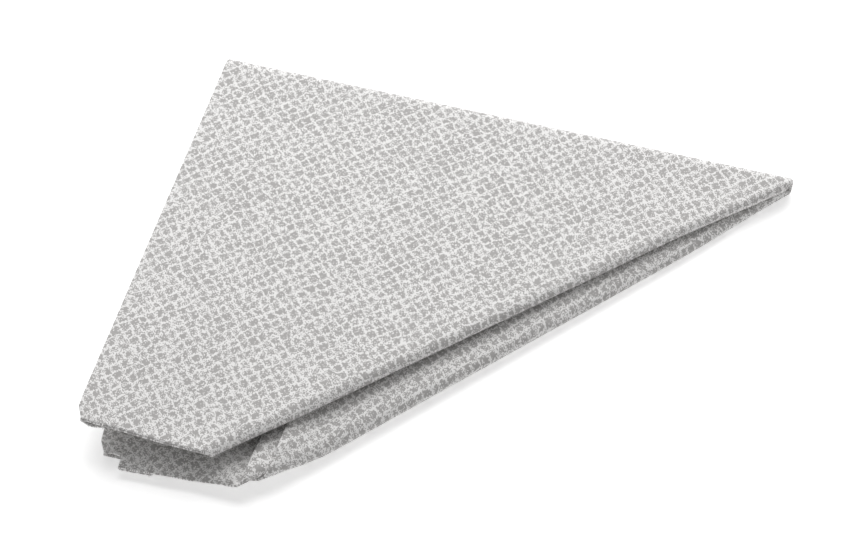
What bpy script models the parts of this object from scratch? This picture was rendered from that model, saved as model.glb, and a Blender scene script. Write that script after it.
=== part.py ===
# A hemmed jacquard napkin, folded flat to a point.
# The cloth is folded in half, the two corners of the folded end are turned in until
# they meet at its middle, and the point so made is folded in half along that middle.
# Flat cloth: X runs along the cut length from one hem, Y across the width between the
# selvages. Every fold turns the far side under, so the outer face stays on top.

import math

import bmesh
import bpy
import numpy as np

# Sizes of the cloth, in metres
HALF_WIDTH = 0.2010
OUTER_LENGTH = 0.2512
INNER_SHORTFALL = 0.0060
HEM_WIDTH = 0.014
CLOTH_THICKNESS = 0.0010
PLY_SPACING = 0.00132

# Where the folds lie: each line is the middle of its bend. The corner folds start at
# points beside the tip, and the turned-in corners leave a narrow gap at the middle fold.
FIRST_FOLD_SKEW = math.radians(0.75)
UPPER_FOLD_ANGLE = math.radians(46.6)
LOWER_FOLD_ANGLE = math.radians(46.6)
CREASE_TILT = math.radians(1.6)
CREASE_START = -0.0020
TIP_HALF_WIDTH = 0.0079
TIP_SHIFT = 0.0022

# Bend radii. Each corner fold is tight at the tip and looser far from it. Where it ends
# at the selvage its radius changes by "end", and the fold is drawn inwards by "draw".
CREASE_RADIUS = 3.5 * PLY_SPACING
TIP_RADIUS = 1.5 * PLY_SPACING
CORNER_LENGTH = 0.277
UPPER_NOSE = {"near": TIP_RADIUS, "far": 0.0032, "end": -0.0004, "draw": 0.0012, "reach": 0.040}
LOWER_NOSE = {"near": TIP_RADIUS, "far": 0.0046, "end": -0.0014, "draw": 0.0045, "reach": 0.050}

# Away from the tip a corner fold eases into the flat cloth instead of turning evenly
FOLD_SOFTNESS = 0.65
SOFT_FROM_TIP = 0.120

# Small shifts of the cloth: across the middle fold near the tip, and at the hems, which
# lie a little askew and are drawn in where they end at the selvages
TIP_SWEEP = {"shift": 0.0028, "reach": 0.045}
HEM_SLANT = {"shift": 0.0018, "reach": 0.060}
HEM_PULL = {"shift": 0.0028, "reach": 0.011}

# A turned-in corner settles onto the plies above it, within this share of the distance
# from the tip. Near the first fold its plies can't slip past each other.
SETTLE_START = 0.003
SETTLE_SHARE = 0.19
SLIP_REACH = 0.120

# The inner ply comes down over the hems, and the upper half stands open at the front
HEM_RAMP = 0.018
TOP_RISE = 0.0092
TOP_REACH = 0.190
CREASE_SOFTNESS = 0.008
SELVAGE_SAG = {"depth": 0.0020, "place": 0.040, "width": 0.022, "reach": 0.060}
LOWER_CORNER = {"lift": 0.0050, "place": 0.064, "reach": 0.040}

# Cloth squeezed to less than 1 / EASE of its length is thinner, down to this share
EASE = 1.25
THINNEST = 0.35

# The mean of the grey and the white yarn
CLOTH_COLOUR = (0.62, 0.61, 0.60)
CLOTH_ROUGHNESS = 0.9

# Mesh fineness
CELL = 0.020
BEND_STEPS = 8
TIGHT_STEPS = 4
RAMP_STEPS = 4
TURN_SAMPLES = 24


def smooth_step(value):
    t = np.clip(value, 0.0, 1.0)
    return t * t * (3.0 - 2.0 * t)


def read_points(cloth):
    return np.array([vert.co[:] for vert in cloth.verts])


def write_points(cloth, points):
    for vert, point in zip(cloth.verts, points):
        vert.co = point


def plain_nose(radius):
    return {"near": radius, "far": radius, "end": 0.0, "draw": 0.0, "reach": 1.0}


def half_turn(share, softness):
    """Angle, run and drop of a bend of unit radius after a share of its length."""
    share, softness = np.broadcast_arrays(share, softness)

    def angle_after(part):
        return math.pi * part - softness[..., None] * np.sin(2 * math.pi * part) / 2

    samples = (np.arange(TURN_SAMPLES) + 0.5) / TURN_SAMPLES
    length = 2.0 / np.sin(angle_after(samples)).mean(axis=-1)
    angles = angle_after(share[..., None] * samples)
    run = length * share * np.cos(angles).mean(axis=-1)
    drop = -length * share * np.sin(angles).mean(axis=-1)
    return angle_after(share[..., None])[..., 0], run, drop, length


def cut_across(cloth, origin, normal, wanted=None):
    """Adds edges to every ply where an upright plane passes through it."""
    faces = [face for face in cloth.faces if wanted is None or wanted(face)]
    geometry = set(faces)
    for face in faces:
        geometry.update(face.edges)
        geometry.update(face.verts)
    bmesh.ops.bisect_plane(
        cloth,
        geom=list(geometry),
        dist=1e-6,
        plane_co=(*origin, 0.0),
        plane_no=(*normal, 0.0),
    )


class Fold:
    """A line in plan; the side that its normal points to is turned under.

    A side of 1 or -1 limits the fold to that direction along the line.
    """

    def __init__(self, origin, normal_angle, nose, side=0):
        self.origin = np.array(origin, float)
        self.normal = np.array([math.cos(normal_angle), math.sin(normal_angle)])
        self.tangent = np.array([-self.normal[1], self.normal[0]])
        self.nose = nose
        self.growth = (nose["far"] - nose["near"]) / CORNER_LENGTH
        self.side = side

    def offsets(self, points):
        offset = points[:, :2] - self.origin
        return offset @ self.normal, offset @ self.tangent

    def near_end(self, along):
        return smooth_step((np.abs(along) - CORNER_LENGTH) / self.nose["reach"] + 1.0)

    def radius(self, along):
        run = self.nose["near"] + self.growth * np.abs(along)
        return run + self.nose["end"] * self.near_end(along)

    def draw(self, cloth, share):
        """Shifts the cloth across the fold where the fold nears the selvage."""
        points = read_points(cloth)
        _, along = self.offsets(points)
        points[:, :2] += np.outer(share * self.nose["draw"] * self.near_end(along), self.normal)
        write_points(cloth, points)

    def softness(self, along):
        return FOLD_SOFTNESS * smooth_step(np.abs(along) / SOFT_FROM_TIP) * abs(self.side)

    def cut(self, cloth, steps, beyond=()):
        """Adds the edges on which the cloth bends, and guide edges beyond the bend."""
        shares = np.linspace(0.0, 1.0, 4 * TURN_SAMPLES + 1)
        even = np.linspace(0.0, math.pi, steps + 1)
        ends = []
        for along, radius in ((0.0, self.nose["near"]), (CORNER_LENGTH, self.nose["far"])):
            angles, _, _, length = half_turn(shares, self.softness(along))
            ends.append((np.interp(even, angles, shares) - 0.5) * length[0] * radius)
        lines = list(zip(*ends))
        lines += [(ends[0][-1] + near, ends[1][-1] + far) for near, far in beyond]
        for near, far in lines:
            lean = self.side * math.atan((far - near) / CORNER_LENGTH)
            normal = self.normal * math.cos(lean) - self.tangent * math.sin(lean)
            cut_across(
                cloth,
                self.origin + self.normal * near,
                normal,
                self.reaches if self.side else None,
            )

    def reaches(self, face):
        offset = np.array(face.calc_center_median()[:2]) - self.origin
        return self.side * float(offset @ self.tangent) > -TIP_HALF_WIDTH

    def turn_under(self, points, slip):
        """Bends the far side through a half turn; also says what lies past the bend."""
        from_middle, along = self.offsets(points)
        radius = self.radius(along)
        softness = self.softness(along)
        depth = points[:, 2]
        _, _, _, length = half_turn(0.0, softness)
        middle = length * radius / 2
        across = from_middle + middle
        arc = length * radius + slip * math.pi * depth
        bent = across > 0.0
        share = np.clip(across / np.where(bent, arc, 1.0), 0.0, 1.0)
        beyond = np.where(bent, np.maximum(across - arc, 0.0), 0.0)
        angle, run, drop, _ = half_turn(share, softness)
        reach = np.where(bent, radius * run + depth * np.sin(angle) - beyond, across) - middle
        height = np.where(bent, radius * drop + depth * np.cos(angle), depth)
        plan = self.origin + np.outer(reach, self.normal) + np.outer(along, self.tangent)
        return np.column_stack([plan, height]), beyond > 0.0, -reach - middle


def hemmed_cloth():
    """The flat cloth with a hem turned under at each cut end, and its finished length."""
    inner_length = OUTER_LENGTH - INNER_SHORTFALL
    length = OUTER_LENGTH + inner_length
    cloth = bmesh.new()
    flat = cloth.verts.layers.float_vector.new("flat")
    bmesh.ops.create_grid(cloth, x_segments=1, y_segments=1, size=0.5)
    for vert in cloth.verts:
        vert.co.x = vert.co.x * (length + 2 * HEM_WIDTH) + length / 2
        vert.co.y = vert.co.y * 2 * HALF_WIDTH
        vert[flat] = vert.co
    tight = plain_nose(PLY_SPACING / 2)
    for hem in (Fold((0.0, 0.0), math.pi, tight), Fold((length, 0.0), 0.0, tight)):
        hem.cut(cloth, TIGHT_STEPS)
        points, _, _ = hem.turn_under(read_points(cloth), 0.0)
        write_points(cloth, points)
    return cloth


def fold_in_half(cloth):
    """Brings the second hem under the first; the inner ply comes down over both hems."""
    fold = Fold((OUTER_LENGTH, 0.0), -FIRST_FOLD_SKEW, plain_nose(PLY_SPACING / 2))
    hem_zone = INNER_SHORTFALL + HALF_WIDTH * math.sin(2 * FIRST_FOLD_SKEW) + HEM_WIDTH
    flat_part = OUTER_LENGTH - hem_zone
    ramp = flat_part - HEM_RAMP * np.linspace(0.0, 1.0, RAMP_STEPS + 1)
    guides = [(distance, distance) for distance in ramp]
    fold.cut(cloth, TIGHT_STEPS, guides)
    points, turned, inside = fold.turn_under(read_points(cloth), 0.0)
    near_hem = smooth_step((inside - flat_part) / HEM_RAMP + 1.0)
    points[:, 2] -= np.where(turned, 2 * PLY_SPACING * near_hem, 0.0)
    write_points(cloth, points)


def cut_cells(cloth):
    """Divides all the plies along the same lines, so that they stay parallel."""
    for index in range(1, round(OUTER_LENGTH / CELL)):
        cut_across(cloth, (index * CELL, 0.0), (1.0, 0.0))
    rows = round(2 * HALF_WIDTH / CELL)
    for index in range(1, rows):
        cut_across(cloth, (0.0, (2 * index / rows - 1) * HALF_WIDTH), (0.0, 1.0))


def shape_hems(cloth):
    """Lays the hems askew and draws their ends in, with finer cells at those corners."""
    for from_selvage in (HEM_PULL["reach"] / 2, HEM_PULL["reach"]):
        for side in (-1, 1):
            cut_across(
                cloth,
                (0.0, side * (HALF_WIDTH - from_selvage)),
                (0.0, 1.0),
                lambda face: face.calc_center_median().x < CELL,
            )
    points = read_points(cloth)
    askew = (HALF_WIDTH - points[:, 1]) / (2 * HALF_WIDTH)
    slant = HEM_SLANT["shift"] * smooth_step(1.0 - points[:, 0] / HEM_SLANT["reach"])
    to_corner = np.hypot(points[:, 0], HALF_WIDTH - np.abs(points[:, 1]))
    pull = HEM_PULL["shift"] * smooth_step(1.0 - to_corner / HEM_PULL["reach"])
    points[:, 0] += slant * askew + pull
    write_points(cloth, points)


def turn_in_corner(cloth, side, fold_angle, nose):
    """Turns one corner of the folded end under, and lets the flap settle flat."""
    tip_y = CREASE_START + TIP_SHIFT + OUTER_LENGTH * math.tan(CREASE_TILT)
    origin = (OUTER_LENGTH, tip_y + side * TIP_HALF_WIDTH)
    fold = Fold(origin, side * (math.pi / 2 - fold_angle), nose, side)
    ramp = SETTLE_SHARE * CORNER_LENGTH * np.linspace(0.0, 1.0, RAMP_STEPS + 1)
    guides = [(SETTLE_START, SETTLE_START + distance) for distance in ramp]
    fold.draw(cloth, 1.0)
    fold.cut(cloth, BEND_STEPS, guides)
    points = read_points(cloth)
    slip = smooth_step((OUTER_LENGTH - points[:, 0]) / SLIP_REACH)
    points, turned, inside = fold.turn_under(points, slip)
    _, along = fold.offsets(points)
    radius = fold.radius(along)
    settled = smooth_step((inside - SETTLE_START) / (SETTLE_SHARE * np.abs(along) + 1e-6))
    points[:, 2] += np.where(turned, settled * (2 * radius - 3 * PLY_SPACING), 0.0)
    write_points(cloth, points)
    fold.draw(cloth, -1.0)


def fold_along_middle(cloth):
    """Folds the point in half, lifts the upper half at the front and levels the whole."""
    points = read_points(cloth)
    near_tip = smooth_step((points[:, 0] - OUTER_LENGTH) / TIP_SWEEP["reach"] + 1.0)
    points[:, 1] -= TIP_SWEEP["shift"] * near_tip
    write_points(cloth, points)

    fold = Fold((0.0, CREASE_START), math.pi / 2 + CREASE_TILT, plain_nose(CREASE_RADIUS))
    fold.cut(cloth, BEND_STEPS)
    for distance in (0.5 * CREASE_SOFTNESS, 1.5 * CREASE_SOFTNESS):
        upper_side = fold.origin - fold.normal * (math.pi * CREASE_RADIUS / 2 + distance)
        cut_across(cloth, upper_side, fold.normal)
    points = read_points(cloth)
    from_middle, along = fold.offsets(points)
    points, turned, _ = fold.turn_under(points, 0.0)
    from_crease = -from_middle - math.pi * CREASE_RADIUS / 2
    from_hem = -along

    opened = np.maximum(from_crease, 0.0)
    softened = CREASE_SOFTNESS * (1.0 - np.exp(-opened / CREASE_SOFTNESS))
    rise = TOP_RISE * (opened - softened) / TOP_REACH
    sag = SELVAGE_SAG["depth"] * np.exp(
        -(((from_hem - SELVAGE_SAG["place"]) / SELVAGE_SAG["width"]) ** 2)
    )
    sag = sag * smooth_step((opened - TOP_REACH) / SELVAGE_SAG["reach"] + 1.0)
    points[:, 2] += rise - sag

    to_corner = np.hypot(from_hem - LOWER_CORNER["place"], from_middle - HALF_WIDTH)
    lift = LOWER_CORNER["lift"] * smooth_step(1.0 - to_corner / LOWER_CORNER["reach"])
    points[:, 2] += np.where(turned, lift, 0.0)
    write_points(cloth, points)


def place(cloth):
    """Turns the middle fold onto X and stands the underside on the floor, box centred."""
    points = read_points(cloth)
    c, s = math.cos(CREASE_TILT), math.sin(CREASE_TILT)
    points[:, :2] = points[:, :2] @ np.array([[c, -s], [s, c]])
    middle = (points.min(axis=0) + points.max(axis=0)) / 2
    points[:, :2] -= middle[:2]
    points[:, 2] += 2 * CREASE_RADIUS + CLOTH_THICKNESS / 2
    write_points(cloth, points)


def fullness(cloth):
    """How thick each point may be: cloth that is squeezed inside a bend is thinner."""
    flat = cloth.verts.layers.float_vector["flat"]
    shares = np.ones(len(cloth.verts))
    for edge in cloth.edges:
        one, other = edge.verts
        share = (one.co - other.co).length / (one[flat] - other[flat]).length
        shares[[one.index, other.index]] = np.minimum(shares[[one.index, other.index]], share)
    return np.clip(shares * EASE, THINNEST, 1.0)


def linen_grey():
    material = bpy.data.materials.new("Cotton jacquard, grey and white")
    material.use_nodes = True
    surface = material.node_tree.nodes["Principled BSDF"]
    surface.inputs["Base Color"].default_value = (*CLOTH_COLOUR, 1.0)
    surface.inputs["Roughness"].default_value = CLOTH_ROUGHNESS
    surface.inputs["Metallic"].default_value = 0.0
    return material


def build_napkin(collection):
    cloth = hemmed_cloth()
    fold_in_half(cloth)
    cut_cells(cloth)
    shape_hems(cloth)
    turn_in_corner(cloth, -1, UPPER_FOLD_ANGLE, UPPER_NOSE)
    turn_in_corner(cloth, 1, LOWER_FOLD_ANGLE, LOWER_NOSE)
    fold_along_middle(cloth)
    place(cloth)
    bmesh.ops.triangulate(cloth, faces=cloth.faces[:])
    cloth.verts.index_update()
    shares = fullness(cloth)

    mesh = bpy.data.meshes.new("napkin")
    cloth.to_mesh(mesh)
    cloth.free()
    mesh.materials.append(linen_grey())
    mesh.shade_smooth()
    napkin = bpy.data.objects.new("napkin", mesh)
    collection.objects.link(napkin)
    full = napkin.vertex_groups.new(name="Fullness")
    for index, share in enumerate(shares):
        full.add([index], share, "REPLACE")
    thickness = napkin.modifiers.new("Thickness", "SOLIDIFY")
    thickness.thickness = CLOTH_THICKNESS
    thickness.offset = 0.0
    thickness.vertex_group = full.name
    return napkin


def main():
    for item in list(bpy.data.objects):
        bpy.data.objects.remove(item)
    collection = bpy.data.collections.new("Folded napkin")
    bpy.context.scene.collection.children.link(collection)
    build_napkin(collection)


main()
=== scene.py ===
# Folded jacquard napkin: the cloth, its weave and hem stitches, the light and the camera
import math

import bmesh
import bpy
import numpy as np
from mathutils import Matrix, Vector


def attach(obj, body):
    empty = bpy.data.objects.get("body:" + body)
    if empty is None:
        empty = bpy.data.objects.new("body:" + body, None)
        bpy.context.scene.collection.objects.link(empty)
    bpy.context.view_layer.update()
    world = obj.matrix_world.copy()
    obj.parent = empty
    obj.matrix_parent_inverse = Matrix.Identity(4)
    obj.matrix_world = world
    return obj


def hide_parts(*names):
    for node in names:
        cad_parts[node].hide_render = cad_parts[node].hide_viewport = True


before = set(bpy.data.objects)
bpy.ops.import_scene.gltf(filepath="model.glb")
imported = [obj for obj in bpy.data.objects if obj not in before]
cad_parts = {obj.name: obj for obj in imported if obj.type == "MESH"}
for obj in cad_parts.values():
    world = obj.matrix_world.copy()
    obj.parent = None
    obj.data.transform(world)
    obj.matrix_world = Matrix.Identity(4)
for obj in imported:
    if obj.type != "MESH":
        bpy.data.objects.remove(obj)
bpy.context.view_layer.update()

# Flat cloth: X along its cut length from the outer hem, Y across it. Metres.
cloth = {
    "halfWidth": 0.2010,
    "outerLength": 0.2512,
    "innerShortfall": 0.0060,  # the inner hem lies this far back from the outer one
    "hemWidth": 0.014,
    "stitchInset": 0.0012,  # hem stitching, from the hem's cut edge
    "thickness": 0.0010,
    "plySpacing": 0.00132,
    "cell": 0.006,
    "hemCells": 5,  # more edges across the hems, where they open
    "bendSteps": 18,
    "tightSteps": 8,
    "rampSteps": 8,
    "ease": 1.25,  # cloth squeezed to less than 1 / 1.25 of its length is thinner
    "thinnest": 0.35,
}

tipRadius = 1.5 * cloth["plySpacing"]  # of the corner folds

# Where the folds lie, each as the middle of its bend, and how tightly they bend. A corner
# fold is tight at the tip. At the selvage its radius changes by "end", and it is drawn in.
folds = {
    "firstSkew": math.radians(0.75),
    "upperAngle": math.radians(46.6),
    "lowerAngle": math.radians(46.6),
    "creaseTilt": math.radians(1.6),
    "creaseStart": -0.0020,
    "tipHalfWidth": 0.0079,
    "tipShift": 0.0022,
    "creaseRadius": 3.5 * cloth["plySpacing"],
    "cornerLength": 0.277,
    "upperNose": {"near": tipRadius, "far": 0.0032, "end": -0.0004, "draw": 0.0012, "reach": 0.040},
    "lowerNose": {"near": tipRadius, "far": 0.0046, "end": -0.0014, "draw": 0.0045, "reach": 0.050},
    "softness": 0.65,  # away from the tip a corner fold eases into the flat cloth
    "softFromTip": 0.120,
    "turnSamples": 24,
}

# How the folded cloth lies
lie = {
    "tipSweep": {"shift": 0.0028, "reach": 0.045},
    "hemSlant": {"shift": 0.0018, "reach": 0.060},
    "hemPull": {"shift": 0.0032, "reach": 0.008},
    "hemGape": {"depth": 0.0020, "reach": 0.022},  # the hems stand open at the selvages
    "settleStart": 0.003,
    "settleShare": 0.19,  # of the distance from the tip
    "slipReach": 0.120,  # from the tip, beyond which the plies slip freely in a bend
    "hemRamp": 0.018,  # length in which the inner ply makes room for the outer hem
    "topRise": 0.0092,  # the upper half rises from the middle fold to its front edge
    "topReach": 0.190,
    "creaseSoftness": 0.008,
    # near the hems, the upper half's front edge sags and the lower half's front corner lifts
    "selvageSag": {"depth": 0.0020, "place": 0.040, "width": 0.022, "reach": 0.060},
    "lowerCorner": {"lift": 0.0050, "place": 0.064, "reach": 0.040},
    # the selvages of the turned-in flaps stand off
    "flapEdge": {"lift": 0.0016, "reach": 0.012, "fromFold": 0.060},
}


def smoothStep(value):
    t = np.clip(value, 0.0, 1.0)
    return t * t * (3.0 - 2.0 * t)


def readPoints(mesh):
    return np.array([vert.co[:] for vert in mesh.verts])


def readFlat(mesh):
    flat = mesh.verts.layers.float_vector["flat"]
    return np.array([vert[flat][:2] for vert in mesh.verts]).T


def writePoints(mesh, points):
    for vert, point in zip(mesh.verts, points):
        vert.co = point


def plainNose(radius):
    return {"near": radius, "far": radius, "end": 0.0, "draw": 0.0, "reach": 1.0}


def halfTurn(share, softness):
    # angle, run and drop of a bend of unit radius after a share of its length
    share, softness = np.broadcast_arrays(share, softness)

    def angleAfter(part):
        return math.pi * part - softness[..., None] * np.sin(2 * math.pi * part) / 2

    samples = (np.arange(folds["turnSamples"]) + 0.5) / folds["turnSamples"]
    length = 2.0 / np.sin(angleAfter(samples)).mean(axis=-1)
    angles = angleAfter(share[..., None] * samples)
    run = length * share * np.cos(angles).mean(axis=-1)
    drop = -length * share * np.sin(angles).mean(axis=-1)
    return angleAfter(share[..., None])[..., 0], run, drop, length


def cutAcross(mesh, origin, normal, wanted=None):
    # new edges in every ply where an upright plane passes through it
    faces = [face for face in mesh.faces if wanted is None or wanted(face)]
    geometry = set(faces)
    for face in faces:
        geometry.update(face.edges)
        geometry.update(face.verts)
    bmesh.ops.bisect_plane(
        mesh,
        geom=list(geometry),
        dist=1e-6,
        plane_co=(*origin, 0.0),
        plane_no=(*normal, 0.0),
    )


class Fold:
    # a line in plan; the side that its normal points to is turned under

    def __init__(self, origin, normalAngle, nose, side=0):
        self.origin = np.array(origin, float)
        self.normal = np.array([math.cos(normalAngle), math.sin(normalAngle)])
        self.tangent = np.array([-self.normal[1], self.normal[0]])
        self.nose = nose
        self.growth = (nose["far"] - nose["near"]) / folds["cornerLength"]
        self.side = side

    def offsets(self, points):
        offset = points[:, :2] - self.origin
        return offset @ self.normal, offset @ self.tangent

    def nearEnd(self, along):
        return smoothStep((np.abs(along) - folds["cornerLength"]) / self.nose["reach"] + 1.0)

    def radius(self, along):
        run = self.nose["near"] + self.growth * np.abs(along)
        return run + self.nose["end"] * self.nearEnd(along)

    def softness(self, along):
        return folds["softness"] * smoothStep(np.abs(along) / folds["softFromTip"]) * abs(self.side)

    def draw(self, mesh, share):
        # shifts the cloth across the fold where the fold nears the selvage
        points = readPoints(mesh)
        _, along = self.offsets(points)
        points[:, :2] += np.outer(share * self.nose["draw"] * self.nearEnd(along), self.normal)
        writePoints(mesh, points)

    def cut(self, mesh, steps, beyond=()):
        # the edges on which the cloth bends, and guide edges beyond the bend
        shares = np.linspace(0.0, 1.0, 4 * folds["turnSamples"] + 1)
        even = np.linspace(0.0, math.pi, steps + 1)
        ends = []
        for along, radius in ((0.0, self.nose["near"]), (folds["cornerLength"], self.nose["far"])):
            angles, _, _, length = halfTurn(shares, self.softness(along))
            ends.append((np.interp(even, angles, shares) - 0.5) * length[0] * radius)
        lines = list(zip(*ends))
        lines += [(ends[0][-1] + near, ends[1][-1] + far) for near, far in beyond]
        for near, far in lines:
            lean = self.side * math.atan((far - near) / folds["cornerLength"])
            normal = self.normal * math.cos(lean) - self.tangent * math.sin(lean)
            start = self.origin + self.normal * near
            cutAcross(mesh, start, normal, self.reaches if self.side else None)

    def reaches(self, face):
        offset = np.array(face.calc_center_median()[:2]) - self.origin
        return self.side * float(offset @ self.tangent) > -folds["tipHalfWidth"]

    def turnUnder(self, points, slip):
        fromMiddle, along = self.offsets(points)
        radius = self.radius(along)
        softness = self.softness(along)
        depth = points[:, 2]
        _, _, _, length = halfTurn(0.0, softness)
        middle = length * radius / 2
        across = fromMiddle + middle
        arc = length * radius + slip * math.pi * depth
        bent = across > 0.0
        share = np.clip(across / np.where(bent, arc, 1.0), 0.0, 1.0)
        beyond = np.where(bent, np.maximum(across - arc, 0.0), 0.0)
        angle, run, drop, _ = halfTurn(share, softness)
        reach = np.where(bent, radius * run + depth * np.sin(angle) - beyond, across) - middle
        height = np.where(bent, radius * drop + depth * np.cos(angle), depth)
        plan = self.origin + np.outer(reach, self.normal) + np.outer(along, self.tangent)
        return np.column_stack([plan, height]), beyond > 0.0, -reach - middle


def hemmedLength():
    return 2 * cloth["outerLength"] - cloth["innerShortfall"]


def stitchLines():
    # flat X of the stitching, on the cloth and on the turned hem, at both ends
    inset = cloth["hemWidth"] - cloth["stitchInset"]
    length = hemmedLength()
    return (inset, -inset, length - inset, length + inset)


def hemmedCloth():
    length = hemmedLength()
    mesh = bmesh.new()
    flat = mesh.verts.layers.float_vector.new("flat")
    bmesh.ops.create_grid(mesh, x_segments=1, y_segments=1, size=0.5)
    for vert in mesh.verts:
        vert.co.x = vert.co.x * (length + 2 * cloth["hemWidth"]) + length / 2
        vert.co.y = vert.co.y * 2 * cloth["halfWidth"]
        vert[flat] = vert.co
    for place in stitchLines():
        cutAcross(mesh, (place, 0.0), (1.0, 0.0))
    tight = plainNose(cloth["plySpacing"] / 2)
    for hem in (Fold((0.0, 0.0), math.pi, tight), Fold((length, 0.0), 0.0, tight)):
        hem.cut(mesh, cloth["tightSteps"])
        points, _, _ = hem.turnUnder(readPoints(mesh), 0.0)
        writePoints(mesh, points)
    return mesh


def foldInHalf(mesh):
    tight = plainNose(cloth["plySpacing"] / 2)
    fold = Fold((cloth["outerLength"], 0.0), -folds["firstSkew"], tight)
    twist = cloth["halfWidth"] * math.sin(2 * folds["firstSkew"])
    flatPart = cloth["outerLength"] - cloth["innerShortfall"] - twist - cloth["hemWidth"]
    ramp = flatPart - lie["hemRamp"] * np.linspace(0.0, 1.0, cloth["rampSteps"] + 1)
    fold.cut(mesh, cloth["tightSteps"], [(distance, distance) for distance in ramp])
    points, turned, inside = fold.turnUnder(readPoints(mesh), 0.0)
    nearHem = smoothStep((inside - flatPart) / lie["hemRamp"] + 1.0)
    points[:, 2] -= np.where(turned, 2 * cloth["plySpacing"] * nearHem, 0.0)
    writePoints(mesh, points)


def cutCells(mesh):
    for index in range(1, round(cloth["outerLength"] / cloth["cell"])):
        cutAcross(mesh, (index * cloth["cell"], 0.0), (1.0, 0.0))
    rows = round(2 * cloth["halfWidth"] / cloth["cell"])
    for index in range(1, rows):
        cutAcross(mesh, (0.0, (2 * index / rows - 1) * cloth["halfWidth"]), (0.0, 1.0))


def shapeHems(mesh):
    # the hems lie askew, and at the selvages they are drawn in and stand open
    pull, gape, askew = lie["hemPull"], lie["hemGape"], lie["hemSlant"]
    for index in range(1, cloth["hemCells"]):
        cutAcross(mesh, (index * cloth["hemWidth"] / cloth["hemCells"], 0.0), (1.0, 0.0))
        for side in (-1, 1):
            fromMiddle = side * (cloth["halfWidth"] - index * pull["reach"] / cloth["hemCells"])
            cutAcross(mesh, (0.0, fromMiddle), (0.0, 1.0))
    points = readPoints(mesh)
    toSelvage = cloth["halfWidth"] - np.abs(points[:, 1])
    across = np.sin(math.pi * np.clip(points[:, 0] / cloth["hemWidth"], 0.0, 1.0)) ** 2
    opened = gape["depth"] * across * smoothStep(1.0 - toSelvage / gape["reach"])
    points[:, 2] -= np.where(points[:, 2] < -cloth["plySpacing"] / 2, opened, 0.0)
    slant = askew["shift"] * smoothStep(1.0 - points[:, 0] / askew["reach"])
    slant = slant * (cloth["halfWidth"] - points[:, 1]) / (2 * cloth["halfWidth"])
    toCorner = np.hypot(points[:, 0], toSelvage)
    points[:, 0] += slant + pull["shift"] * smoothStep(1.0 - toCorner / pull["reach"])
    writePoints(mesh, points)


def turnInCorner(mesh, side, foldAngle, nose):
    tipY = folds["creaseStart"] + folds["tipShift"]
    tipY += cloth["outerLength"] * math.tan(folds["creaseTilt"])
    origin = (cloth["outerLength"], tipY + side * folds["tipHalfWidth"])
    fold = Fold(origin, side * (math.pi / 2 - foldAngle), nose, side)
    settle = lie["settleShare"] * folds["cornerLength"]
    ramp = settle * np.linspace(0.0, 1.0, cloth["rampSteps"] + 1)
    fold.draw(mesh, 1.0)
    guides = [(lie["settleStart"], lie["settleStart"] + distance) for distance in ramp]
    fold.cut(mesh, cloth["bendSteps"], guides)
    points = readPoints(mesh)
    slip = smoothStep((cloth["outerLength"] - points[:, 0]) / lie["slipReach"])
    points, turned, inside = fold.turnUnder(points, slip)
    _, along = fold.offsets(points)
    width = lie["settleShare"] * np.abs(along) + 1e-6
    settled = smoothStep((inside - lie["settleStart"]) / width)
    drop = settled * (2 * fold.radius(along) - 3 * cloth["plySpacing"])
    points[:, 2] += np.where(turned, drop, 0.0)
    flatX, flatY = readFlat(mesh)
    edge = lie["flapEdge"]
    near = smoothStep(1.0 - (cloth["halfWidth"] - np.abs(flatY)) / edge["reach"])
    near = near * smoothStep(1.0 - inside / edge["fromFold"])
    outerPly = turned & (flatX < cloth["outerLength"])
    points[:, 2] -= np.where(outerPly, edge["lift"] * near, 0.0)
    writePoints(mesh, points)
    fold.draw(mesh, -1.0)


def foldAlongMiddle(mesh):
    points = readPoints(mesh)
    sweep = lie["tipSweep"]
    nearTip = smoothStep((points[:, 0] - cloth["outerLength"]) / sweep["reach"] + 1.0)
    points[:, 1] -= sweep["shift"] * nearTip
    writePoints(mesh, points)

    radius = folds["creaseRadius"]
    normalAngle = math.pi / 2 + folds["creaseTilt"]
    fold = Fold((0.0, folds["creaseStart"]), normalAngle, plainNose(radius))
    fold.cut(mesh, cloth["bendSteps"])
    points = readPoints(mesh)
    fromMiddle, along = fold.offsets(points)
    points, turned, _ = fold.turnUnder(points, 0.0)
    fromHem = -along

    opened = np.maximum(-fromMiddle - math.pi * radius / 2, 0.0)
    soft = lie["creaseSoftness"]
    softened = soft * (1.0 - np.exp(-opened / soft))
    rise = lie["topRise"] * (opened - softened) / lie["topReach"]
    droop = lie["selvageSag"]
    sag = droop["depth"] * np.exp(-(((fromHem - droop["place"]) / droop["width"]) ** 2))
    sag = sag * smoothStep((opened - lie["topReach"]) / droop["reach"] + 1.0)
    points[:, 2] += rise - sag

    corner = lie["lowerCorner"]
    toCorner = np.hypot(fromHem - corner["place"], fromMiddle - cloth["halfWidth"])
    lift = corner["lift"] * smoothStep(1.0 - toCorner / corner["reach"])
    points[:, 2] += np.where(turned, lift, 0.0)
    writePoints(mesh, points)


def layOnFloor(mesh):
    # the middle fold runs along X, and the underside lies on the floor
    points = readPoints(mesh)
    c, s = math.cos(folds["creaseTilt"]), math.sin(folds["creaseTilt"])
    points[:, :2] = points[:, :2] @ np.array([[c, -s], [s, c]])
    middle = (points.min(axis=0) + points.max(axis=0)) / 2
    points[:, :2] -= middle[:2]
    points[:, 2] += 2 * folds["creaseRadius"] + cloth["thickness"] / 2
    writePoints(mesh, points)


def foldedSheet():
    mesh = hemmedCloth()
    foldInHalf(mesh)
    cutCells(mesh)
    shapeHems(mesh)
    turnInCorner(mesh, -1, folds["upperAngle"], folds["upperNose"])
    turnInCorner(mesh, 1, folds["lowerAngle"], folds["lowerNose"])
    foldAlongMiddle(mesh)
    layOnFloor(mesh)
    mesh.normal_update()
    return mesh


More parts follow.
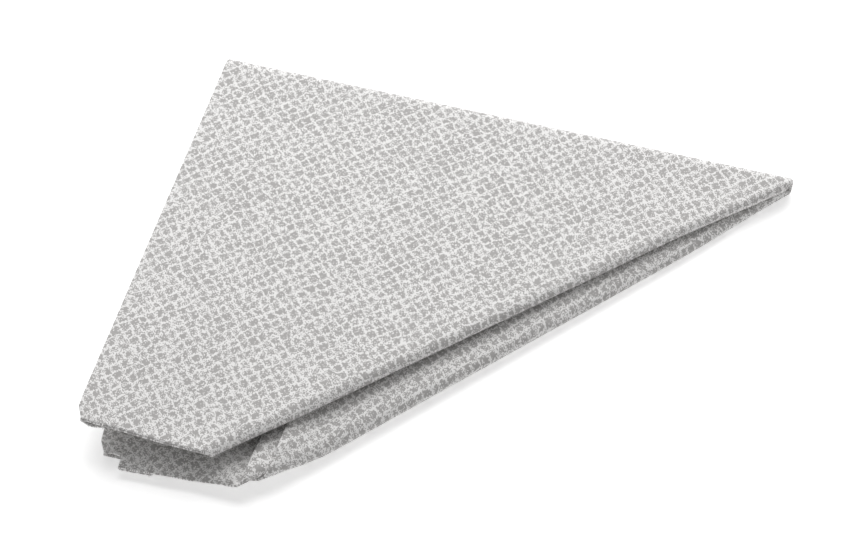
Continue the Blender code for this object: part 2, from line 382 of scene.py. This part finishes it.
def linear(hexColour):
    channels = [int(hexColour[i:i + 2], 16) / 255 for i in (0, 2, 4)]
    return [c / 12.92 if c <= 0.04045 else ((c + 0.055) / 1.055) ** 2.4 for c in channels] + [1.0]


def addNode(tree, kind, links=None, **settings):
    # a node with its settings, and its inputs set or linked by name or number
    node = tree.nodes.new(kind)
    for name, value in settings.items():
        setattr(node, name, value)
    for socket, value in (links or {}).items():
        if isinstance(value, bpy.types.NodeSocket):
            tree.links.new(value, node.inputs[socket])
        else:
            node.inputs[socket].default_value = value
    return node


weave = {  # millimetres
    "weftPitch": 0.42,  # the real yarns are finer: this is as fine as still shows
    "warpPitch": 0.36,
    "floatLength": 2,  # crossings that a yarn floats over
    "floatShare": 0.25,  # how much a float decides on the colour of its crossings
    "patchPitch": 4.0,  # rows of patches run on both diagonals of the cloth
    "unevenness": 0.34,  # of the patches' places, from 0 to 1
    "drift": {"scale": 0.11, "reach": 2.6},  # the rows wander
    # distances from the middle of a white line, as shares of the pitch
    "margin": {"least": 0.10, "spread": 0.20},
    "patchEdge": (-0.06, 0.08),  # from the margin
    "whiteLine": (0.10, 0.03),
    # the share of grey yarn in the ground, and how much more of it is in a patch or a line
    "greyShare": {"ground": 0.44, "patch": 0.34, "line": -0.20},
    "blend": 0.06,
    "whiteYarn": "ebeae9",
    "greyYarn": "adabaa",
    "relief": {"strength": 0.5, "depth": 0.1, "whiteLift": 0.5},
    "roughness": 0.88,
    "specular": 0.25,
    "sheen": {"weight": 0.15, "roughness": 0.5},
}


def wovenJacquard():
    # cotton jacquard, woven from white and grey yarn: matt, with a faint fuzz
    material = bpy.data.materials.new("Cotton jacquard, woven white and grey")
    material.use_nodes = True
    tree = material.node_tree
    surface = tree.nodes["Principled BSDF"]
    surface.inputs["Roughness"].default_value = weave["roughness"]
    surface.inputs["Specular IOR Level"].default_value = weave["specular"]
    surface.inputs["Sheen Weight"].default_value = weave["sheen"]["weight"]
    surface.inputs["Sheen Roughness"].default_value = weave["sheen"]["roughness"]

    def vectorMath(operation, *values):
        links = dict(enumerate(values))
        return addNode(tree, "ShaderNodeVectorMath", links, operation=operation).outputs[0]

    def number(operation, *values):
        return addNode(tree, "ShaderNodeMath", dict(enumerate(values)), operation=operation).outputs[0]

    def between(value, low, high):
        links = {"Value": value, "From Min": low, "From Max": high}
        return addNode(tree, "ShaderNodeMapRange", links, interpolation_type="SMOOTHSTEP").outputs[0]

    def chanceOf(vector):
        return addNode(
            tree, "ShaderNodeTexWhiteNoise", {"Vector": vector}, noise_dimensions="2D"
        ).outputs["Value"]

    flat = addNode(tree, "ShaderNodeUVMap", uv_map="flatCloth").outputs["UV"]
    flatMm = vectorMath("MULTIPLY", flat, (1000.0, 1000.0, 0.0))
    # each crossing of two yarns is one cell of a fine grid
    pitch = (weave["weftPitch"], weave["warpPitch"], 1.0)
    counted = vectorMath("DIVIDE", flatMm, pitch)
    crossing = vectorMath("FLOOR", counted)
    middle = vectorMath("MULTIPLY", crossing, pitch)

    # the repeat: patches of uneven size on both diagonals, with thin white lines between
    wander = weave["drift"]
    drift = addNode(
        tree, "ShaderNodeTexNoise", {"Vector": middle, "Scale": wander["scale"], "Detail": 1.0},
        noise_dimensions="2D",
    ).outputs["Color"]
    drifted = vectorMath("MULTIPLY_ADD", drift, (wander["reach"], wander["reach"], 0.0), middle)
    turned = addNode(
        tree, "ShaderNodeMapping", {"Vector": drifted, "Rotation": (0.0, 0.0, math.radians(45))}
    ).outputs[0]
    layout = {
        "Vector": turned, "Scale": 1 / weave["patchPitch"], "Randomness": weave["unevenness"],
    }
    cells = addNode(tree, "ShaderNodeTexVoronoi", layout, voronoi_dimensions="2D")
    rims = addNode(
        tree, "ShaderNodeTexVoronoi", layout, voronoi_dimensions="2D", feature="DISTANCE_TO_EDGE"
    ).outputs["Distance"]
    size = addNode(tree, "ShaderNodeSeparateColor", {0: cells.outputs["Color"]}).outputs[0]
    margin = number("MULTIPLY_ADD", size, weave["margin"]["spread"], weave["margin"]["least"])
    patch = between(number("SUBTRACT", rims, margin), *weave["patchEdge"])
    line = between(rims, *weave["whiteLine"])
    greyShare = weave["greyShare"]
    share = number("MULTIPLY_ADD", patch, greyShare["patch"], greyShare["ground"])
    share = number("MULTIPLY_ADD", line, greyShare["line"], share)

    # white yarn floats along the cloth between the patches, and grey yarn across it in them
    part = 1 / weave["floatLength"]
    alongFloat = chanceOf(vectorMath("FLOOR", vectorMath("MULTIPLY", crossing, (part, 1.0, 0.0))))
    acrossFloat = chanceOf(vectorMath("FLOOR", vectorMath("MULTIPLY", crossing, (1.0, part, 0.0))))
    floats = addNode(
        tree, "ShaderNodeMix", {"Factor": patch, "A": alongFloat, "B": acrossFloat}
    ).outputs[0]
    chance = number(
        "MULTIPLY_ADD", chanceOf(crossing), 1 - weave["floatShare"],
        number("MULTIPLY", floats, weave["floatShare"]),
    )
    grey = between(number("SUBTRACT", share, chance), -weave["blend"], weave["blend"])
    colour = addNode(
        tree, "ShaderNodeMix",
        {"Factor": grey, "A": linear(weave["whiteYarn"]), "B": linear(weave["greyYarn"])},
        data_type="RGBA",
    )
    tree.links.new(colour.outputs["Result"], surface.inputs["Base Color"])

    # yarns stand round between their crossings, and white ones float higher
    relief = weave["relief"]
    inCrossing = vectorMath("FRACTION", counted)
    centred = vectorMath("SUBTRACT", inCrossing, (0.5, 0.5, 0.0))
    fromCentre = addNode(
        tree, "ShaderNodeVectorMath", {0: centred}, operation="LENGTH"
    ).outputs["Value"]
    greyDrop = number("MULTIPLY", grey, -relief["whiteLift"])
    height = number("MULTIPLY_ADD", fromCentre, -1.0, greyDrop)
    bump = addNode(
        tree, "ShaderNodeBump",
        {"Height": height, "Strength": relief["strength"], "Distance": relief["depth"] / 1000},
    )
    tree.links.new(bump.outputs[0], surface.inputs["Normal"])
    return material


def plainMaterial(name, hexColour, roughness):
    material = bpy.data.materials.new(name)
    material.use_nodes = True
    surface = material.node_tree.nodes["Principled BSDF"]
    surface.inputs["Base Color"].default_value = linear(hexColour)
    surface.inputs["Roughness"].default_value = roughness
    return material


def addObject(name, data):
    item = bpy.data.objects.new(name, data)
    bpy.context.scene.collection.objects.link(item)
    return item


def realise(item):
    # the object's modifiers become its mesh
    depsgraph = bpy.context.evaluated_depsgraph_get()
    mesh = bpy.data.meshes.new_from_object(item.evaluated_get(depsgraph))
    mesh.name = item.name
    item.modifiers.clear()
    item.data = mesh
    return item


def fullness(mesh):
    # how thick each point may be: cloth that is squeezed inside a bend is thinner
    flat = mesh.verts.layers.float_vector["flat"]
    shares = np.ones(len(mesh.verts))
    for edge in mesh.edges:
        one, other = edge.verts
        share = (one.co - other.co).length / (one[flat] - other[flat]).length
        shares[[one.index, other.index]] = np.minimum(shares[[one.index, other.index]], share)
    return np.clip(shares * cloth["ease"], cloth["thinnest"], 1.0)


def buildCloth(sheet, material):
    sheet.verts.index_update()
    mesh = bpy.data.meshes.new("napkinCloth")
    sheet.to_mesh(mesh)
    flat = np.zeros(len(mesh.vertices) * 3)
    mesh.attributes["flat"].data.foreach_get("vector", flat)
    flat = flat.reshape(-1, 3)
    corner = np.zeros(len(mesh.loops), int)
    mesh.loops.foreach_get("vertex_index", corner)
    uvMap = mesh.uv_layers.new(name="flatCloth")
    uvMap.data.foreach_set("uv", flat[corner, :2].ravel())
    mesh.attributes.remove(mesh.attributes["flat"])
    mesh.materials.append(material)
    mesh.shade_smooth()
    napkin = addObject("napkinCloth", mesh)
    full = napkin.vertex_groups.new(name="fullness")
    for index, share in enumerate(fullness(sheet)):
        full.add([index], share, "REPLACE")
    solid = napkin.modifiers.new("Thickness", "SOLIDIFY")
    solid.thickness = cloth["thickness"]
    solid.offset = 0.0
    solid.vertex_group = full.name
    return realise(napkin)


stitching = {
    "pitch": 0.0019,
    "length": 0.0014,
    "width": 0.00042,
    "height": 0.00042,  # above the cloth's middle: the stitches are sunk into its face
    "leastScale": (0.75, 0.85, 0.8),
    "mostScale": (1.15, 1.1, 1.1),
    "seed": 4,
    "thread": "f4f2f0",
    "roughness": 0.8,
}


def stitchPath(sheet):
    # the stitching's lines on the folded cloth, with the cloth's outward direction
    flat = sheet.verts.layers.float_vector["flat"]
    points, edges, outward = [], [], []
    for place in stitchLines():
        line = [vert for vert in sheet.verts if abs(vert[flat].x - place) < 1e-6]
        line.sort(key=lambda vert: vert[flat].y)
        start = len(points)
        for vert in line:
            points.append(vert.co + vert.normal * stitching["height"])
            outward.append(vert.normal[:])
        edges += [(start + i, start + i + 1) for i in range(len(line) - 1)]
    mesh = bpy.data.meshes.new("hemStitches")
    mesh.from_pydata(points, edges, [])
    attribute = mesh.attributes.new("outward", "FLOAT_VECTOR", "POINT")
    attribute.data.foreach_set("vector", np.array(outward).ravel())
    return mesh


def stitchTree(material):
    tree = bpy.data.node_groups.new("hemStitching", "GeometryNodeTree")
    tree.interface.new_socket("Path", in_out="INPUT", socket_type="NodeSocketGeometry")
    for name in ("Pitch", "Length", "Width"):
        tree.interface.new_socket(name, in_out="INPUT", socket_type="NodeSocketFloat")
    tree.interface.new_socket("Seed", in_out="INPUT", socket_type="NodeSocketInt")
    tree.interface.new_socket("Stitches", in_out="OUTPUT", socket_type="NodeSocketGeometry")
    inputs = tree.nodes.new("NodeGroupInput").outputs
    curve = addNode(tree, "GeometryNodeMeshToCurve", {"Mesh": inputs["Path"]})
    spots = addNode(
        tree, "GeometryNodeCurveToPoints", {"Curve": curve.outputs[0], "Length": inputs["Pitch"]},
        mode="LENGTH",
    )
    outward = addNode(
        tree, "GeometryNodeInputNamedAttribute", {"Name": "outward"}, data_type="FLOAT_VECTOR"
    )
    alongLine = addNode(
        tree, "FunctionNodeAlignRotationToVector", {"Vector": spots.outputs["Tangent"]}, axis="X"
    )
    upright = addNode(
        tree, "FunctionNodeAlignRotationToVector",
        {"Rotation": alongLine.outputs[0], "Vector": outward.outputs[0]}, axis="Z", pivot_axis="X",
    )
    ball = addNode(tree, "GeometryNodeMeshUVSphere", {"Segments": 8, "Rings": 5, "Radius": 0.5})
    size = addNode(
        tree, "ShaderNodeCombineXYZ",
        {"X": inputs["Length"], "Y": inputs["Width"], "Z": inputs["Width"]},
    )
    thread = addNode(
        tree, "GeometryNodeTransform", {"Geometry": ball.outputs[0], "Scale": size.outputs[0]}
    )
    vary = addNode(
        tree, "FunctionNodeRandomValue",
        {"Min": stitching["leastScale"], "Max": stitching["mostScale"], "Seed": inputs["Seed"]},
        data_type="FLOAT_VECTOR",
    )
    laid = addNode(
        tree, "GeometryNodeInstanceOnPoints",
        {"Points": spots.outputs["Points"], "Instance": thread.outputs[0],
         "Rotation": upright.outputs[0], "Scale": vary.outputs[0]},
    )
    solid = addNode(tree, "GeometryNodeRealizeInstances", {"Geometry": laid.outputs[0]})
    smooth = addNode(tree, "GeometryNodeSetShadeSmooth", {"Geometry": solid.outputs[0]})
    coloured = addNode(
        tree, "GeometryNodeSetMaterial", {"Geometry": smooth.outputs[0], "Material": material}
    )
    addNode(tree, "NodeGroupOutput", {"Stitches": coloured.outputs[0]})
    return tree


def buildStitches(sheet, material):
    stitches = addObject("hemStitches", stitchPath(sheet))
    modifier = stitches.modifiers.new("Stitches", "NODES")
    modifier.node_group = stitchTree(material)
    values = {"Pitch": "pitch", "Length": "length", "Width": "width", "Seed": "seed"}
    for socket in modifier.node_group.interface.items_tree:
        if socket.name in values:
            modifier[socket.identifier] = stitching[values[socket.name]]
    return realise(stitches)


table = {"reach": 6, "colour": "fdfdfd", "roughness": 0.6, "glow": 0.35, "glowColour": "ffffff"}


def addFloor():
    reach = table["reach"]
    corners = [(-reach, -reach, 0), (reach, -reach, 0), (reach, reach, 0), (-reach, reach, 0)]
    mesh = bpy.data.meshes.new("floor")
    mesh.from_pydata(corners, [], [(0, 1, 2, 3)])
    # opal acrylic, evenly white: it glows a little from the light under it
    acrylic = plainMaterial("White acrylic, lit from below", table["colour"], table["roughness"])
    surface = acrylic.node_tree.nodes["Principled BSDF"]
    surface.inputs["Emission Color"].default_value = linear(table["glowColour"])
    surface.inputs["Emission Strength"].default_value = table["glow"]
    mesh.materials.append(acrylic)
    floor = addObject("floor", mesh)


light = {
    "sky": {"colour": "ffffff", "strength": 0.38},
    "key": {"place": (-0.25, 0.90, 0.95), "size": 1.4, "power": 20.5},
}


def addLight():
    world = bpy.data.worlds.new("Studio")
    bpy.context.scene.world = world
    world.use_nodes = True
    sky = world.node_tree.nodes["Background"]
    sky.inputs["Color"].default_value = linear(light["sky"]["colour"])
    sky.inputs["Strength"].default_value = light["sky"]["strength"]
    key = light["key"]
    lamp = bpy.data.lights.new("key", "AREA")
    lamp.shape = "SQUARE"
    lamp.size = key["size"]
    lamp.energy = key["power"]
    item = addObject("key", lamp)
    item.location = key["place"]
    item.rotation_euler = Vector(key["place"]).to_track_quat("Z", "Y").to_euler()


camera = {
    "azimuth": math.radians(14.84),
    "elevation": math.radians(56.41),
    "distance": 1.2577,
    "target": (-0.0126, 0.0244, 0.0),
    "lens": 126.3,
}


def addCamera():
    flatReach = math.cos(camera["elevation"])
    back = Vector((
        math.sin(camera["azimuth"]) * flatReach,
        -math.cos(camera["azimuth"]) * flatReach,
        math.sin(camera["elevation"]),
    ))
    data = bpy.data.cameras.new("photoView")
    data.lens = camera["lens"]
    item = addObject("photoView", data)
    item.location = Vector(camera["target"]) + back * camera["distance"]
    item.rotation_euler = back.to_track_quat("Z", "Y").to_euler()
    bpy.context.scene.camera = item


def main():
    scene = bpy.context.scene
    scene.view_settings.view_transform = "Standard"
    addCamera()
    sheet = foldedSheet()
    print("folded sheet:", len(sheet.faces), "faces")
    napkin = buildCloth(sheet, wovenJacquard())
    print("cloth:", len(napkin.data.polygons), "faces")
    # spun cotton sewing thread: plain white and matt
    thread = plainMaterial(
        "Cotton sewing thread, spun", stitching["thread"], stitching["roughness"]
    )
    stitches = buildStitches(sheet, thread)
    sheet.free()
    print("stitches:", len(stitches.data.polygons), "faces")
    addFloor()
    addLight()
    print("camera, floor and light: placed")

    for piece in (napkin, stitches):
        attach(piece, "root")
    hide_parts("napkin")


main()
